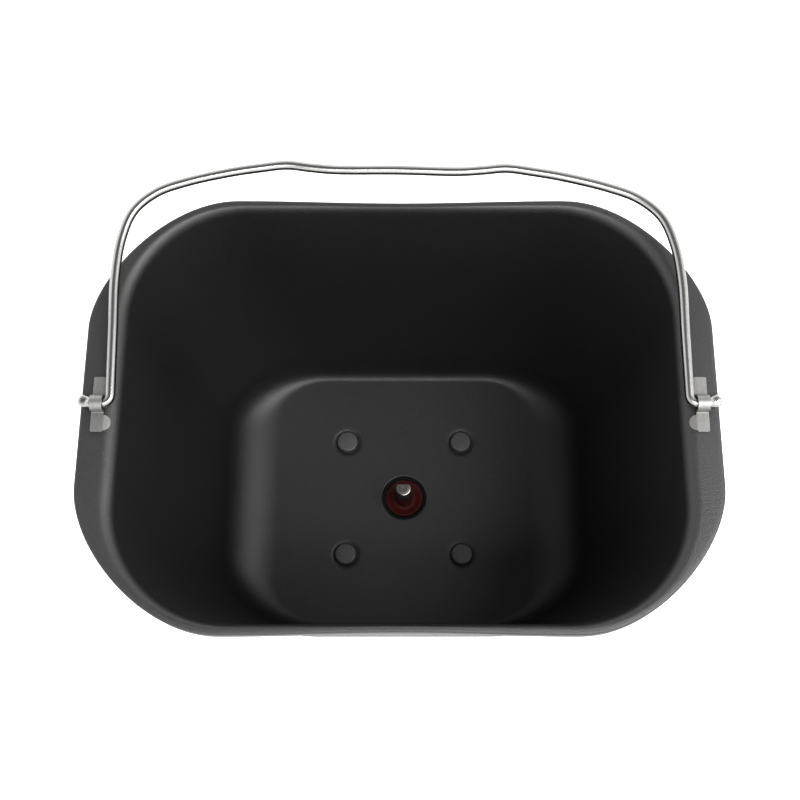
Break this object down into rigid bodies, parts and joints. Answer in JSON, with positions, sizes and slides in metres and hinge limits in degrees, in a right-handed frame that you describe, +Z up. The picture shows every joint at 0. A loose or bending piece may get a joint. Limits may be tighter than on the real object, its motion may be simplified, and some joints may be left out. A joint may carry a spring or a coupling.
{
  "type": "bread machine baking pan",
  "caption": "Deep non-stick baking pan of a bread machine, with a folding wire bail handle, a riveted base ring and a sealed drive shaft with its coupling.",
  "frame": {"origin": "on the drive shaft's axis, in the plane that the base ring stands on; the shaft's flat lower end is 1 mm above it", "axes": "+X along the pan's length to the right-hand handle clip, +Y to the pan's back, where the handle lies folded, +Z up along the drive shaft out of the pan's mouth"},
  "size_m": [0.2084, 0.1574, 0.1718],
  "materials": {
    "non_stick": "aluminium under a dark grey non-stick coating with a fine grain, satin, not metallic",
    "pressed_aluminium": "pressed sheet, dull",
    "cast_aluminium": "as cast",
    "stainless_wire": "drawn stainless wire, half bright",
    "stainless_strap": "pressed stainless strap, satin",
    "shaft_steel": "turned stainless bar",
    "sintered_bronze": "oil-filled sintered bronze, dull",
    "red_silicone": "moulded silicone, dull",
    "black_silicone": "moulded silicone, dull black",
    "cast_zinc": "die-cast zinc, grey"
  },
  "bodies": {
    "pan": {"pan_body": "non_stick", "pan_rivet_front_left": "non_stick", "pan_rivet_front_right": "non_stick", "pan_rivet_back_left": "non_stick", "pan_rivet_back_right": "non_stick", "base_ring": "pressed_aluminium", "bearing_housing": "cast_aluminium", "upper_bush": "sintered_bronze", "lower_bush": "sintered_bronze", "floor_gasket": "black_silicone", "shaft_seal": "red_silicone", "left_handle_clip": "stainless_strap", "right_handle_clip": "stainless_strap"},
    "drive": {"drive_shaft": "shaft_steel", "upper_thrust_washer": "shaft_steel", "lower_thrust_washer": "shaft_steel", "retaining_ring": "shaft_steel", "drive_coupling": "cast_zinc", "coupling_pin": "shaft_steel"},
    "handle": {"bail_handle": "stainless_wire"}
  },
  "joints": [
    {"name": "drive_spin", "type": "hinge", "parent": "pan", "child": "drive", "pos_m": [0, 0, 0.02], "axis": [0, 0, 1], "continuous": true},
    {"name": "handle_swing", "type": "hinge", "parent": "pan", "child": "handle", "pos_m": [0, 0, 0.1624], "axis": [1, 0, 0], "range_deg": [0, 169]}
  ]
}
